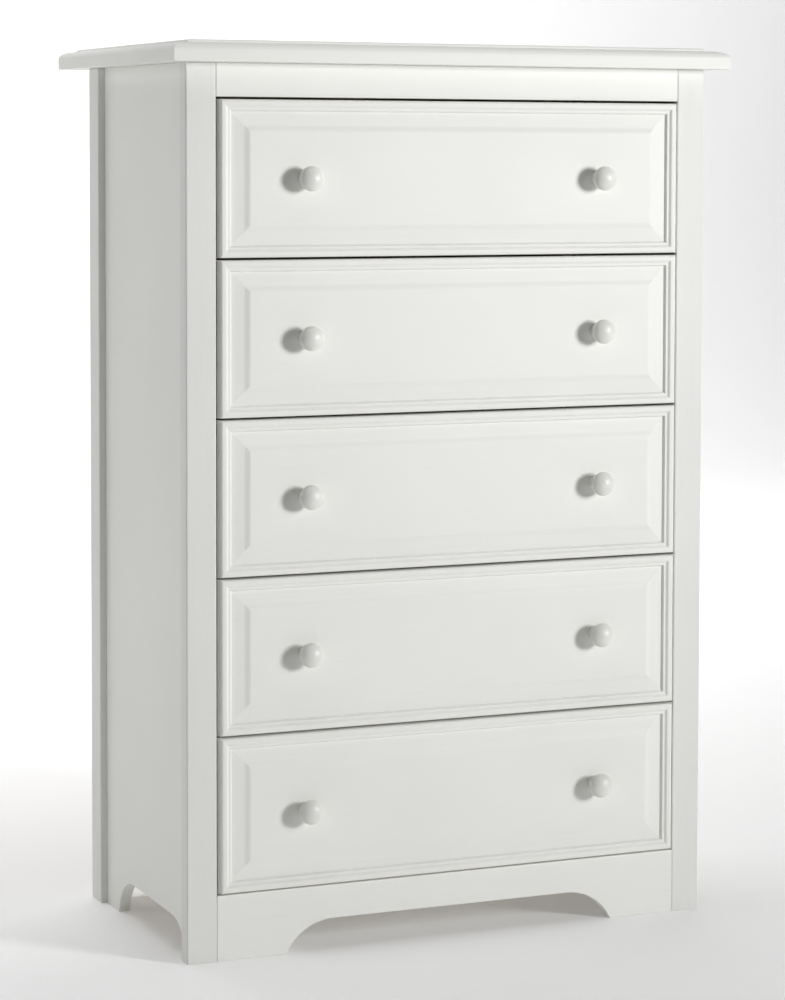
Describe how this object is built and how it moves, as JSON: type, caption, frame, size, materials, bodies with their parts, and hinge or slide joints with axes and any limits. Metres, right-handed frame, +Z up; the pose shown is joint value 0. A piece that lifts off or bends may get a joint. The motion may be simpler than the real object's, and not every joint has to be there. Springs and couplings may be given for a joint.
{
  "type": "tall chest of drawers",
  "caption": "Tall painted chest of drawers with a moulded overhanging top, raised-field drawer fronts with ball knobs, full-height stiles and an arched apron.",
  "frame": {"origin": "on the floor, at the centre of the rectangle covered by the top panel and the knobs", "axes": "+Z up, drawers open towards -Y, X across the front"},
  "size_m": [0.8, 0.529, 1.2],
  "materials": {
    "satin_painted_wood": "satin white paint",
    "gloss_painted_wood": "semi-gloss white paint on turned wood",
    "raw_hardboard": "bare hardboard",
    "faced_hardboard": "white-faced hardboard",
    "bare_softwood": "planed pine",
    "lacquered_birch": "clear lacquered birch",
    "enamelled_steel": "white epoxy coated steel",
    "zinc_plated_steel": "zinc plated"
  },
  "bodies": {
    "carcass": {"apron": "satin_painted_wood", "back_panel": "raw_hardboard", "corner_blocks": "bare_softwood", "left_cabinet_runners": "enamelled_steel", "left_front_stile": "satin_painted_wood", "left_rear_post": "satin_painted_wood", "left_runner_battens": "bare_softwood", "left_side_panel": "satin_painted_wood", "rear_bottom_rail": "bare_softwood", "rear_top_rail": "bare_softwood", "right_cabinet_runners": "enamelled_steel", "right_front_stile": "satin_painted_wood", "right_rear_post": "satin_painted_wood", "right_runner_battens": "bare_softwood", "right_side_panel": "satin_painted_wood", "runner_screws": "zinc_plated_steel", "top_cleats": "bare_softwood", "top_panel": "satin_painted_wood", "top_rail": "satin_painted_wood", "top_screws": "zinc_plated_steel"},
    "drawer_1": {"drawer_1_back": "lacquered_birch", "drawer_1_bottom": "faced_hardboard", "drawer_1_front": "satin_painted_wood", "drawer_1_knob_screws": "zinc_plated_steel", "drawer_1_knobs": "gloss_painted_wood", "drawer_1_left_side": "lacquered_birch", "drawer_1_right_side": "lacquered_birch", "drawer_1_runners": "enamelled_steel"},
    "drawer_2": {"drawer_2_back": "lacquered_birch", "drawer_2_bottom": "faced_hardboard", "drawer_2_front": "satin_painted_wood", "drawer_2_knob_screws": "zinc_plated_steel", "drawer_2_knobs": "gloss_painted_wood", "drawer_2_left_side": "lacquered_birch", "drawer_2_right_side": "lacquered_birch", "drawer_2_runners": "enamelled_steel"},
    "drawer_3": {"drawer_3_back": "lacquered_birch", "drawer_3_bottom": "faced_hardboard", "drawer_3_front": "satin_painted_wood", "drawer_3_knob_screws": "zinc_plated_steel", "drawer_3_knobs": "gloss_painted_wood", "drawer_3_left_side": "lacquered_birch", "drawer_3_right_side": "lacquered_birch", "drawer_3_runners": "enamelled_steel"},
    "drawer_4": {"drawer_4_back": "lacquered_birch", "drawer_4_bottom": "faced_hardboard", "drawer_4_front": "satin_painted_wood", "drawer_4_knob_screws": "zinc_plated_steel", "drawer_4_knobs": "gloss_painted_wood", "drawer_4_left_side": "lacquered_birch", "drawer_4_right_side": "lacquered_birch", "drawer_4_runners": "enamelled_steel"},
    "drawer_5": {"drawer_5_back": "lacquered_birch", "drawer_5_bottom": "faced_hardboard", "drawer_5_front": "satin_painted_wood", "drawer_5_knob_screws": "zinc_plated_steel", "drawer_5_knobs": "gloss_painted_wood", "drawer_5_left_side": "lacquered_birch", "drawer_5_right_side": "lacquered_birch", "drawer_5_runners": "enamelled_steel"}
  },
  "joints": [
    {"name": "drawer_1_slide", "type": "slide", "parent": "carcass", "child": "drawer_1", "axis": [0, -1, 0], "range_m": [0, 0.267]},
    {"name": "drawer_2_slide", "type": "slide", "parent": "carcass", "child": "drawer_2", "axis": [0, -1, 0], "range_m": [0, 0.267]},
    {"name": "drawer_3_slide", "type": "slide", "parent": "carcass", "child": "drawer_3", "axis": [0, -1, 0], "range_m": [0, 0.267]},
    {"name": "drawer_4_slide", "type": "slide", "parent": "carcass", "child": "drawer_4", "axis": [0, -1, 0], "range_m": [0, 0.267]},
    {"name": "drawer_5_slide", "type": "slide", "parent": "carcass", "child": "drawer_5", "axis": [0, -1, 0], "range_m": [0, 0.267]}
  ]
}
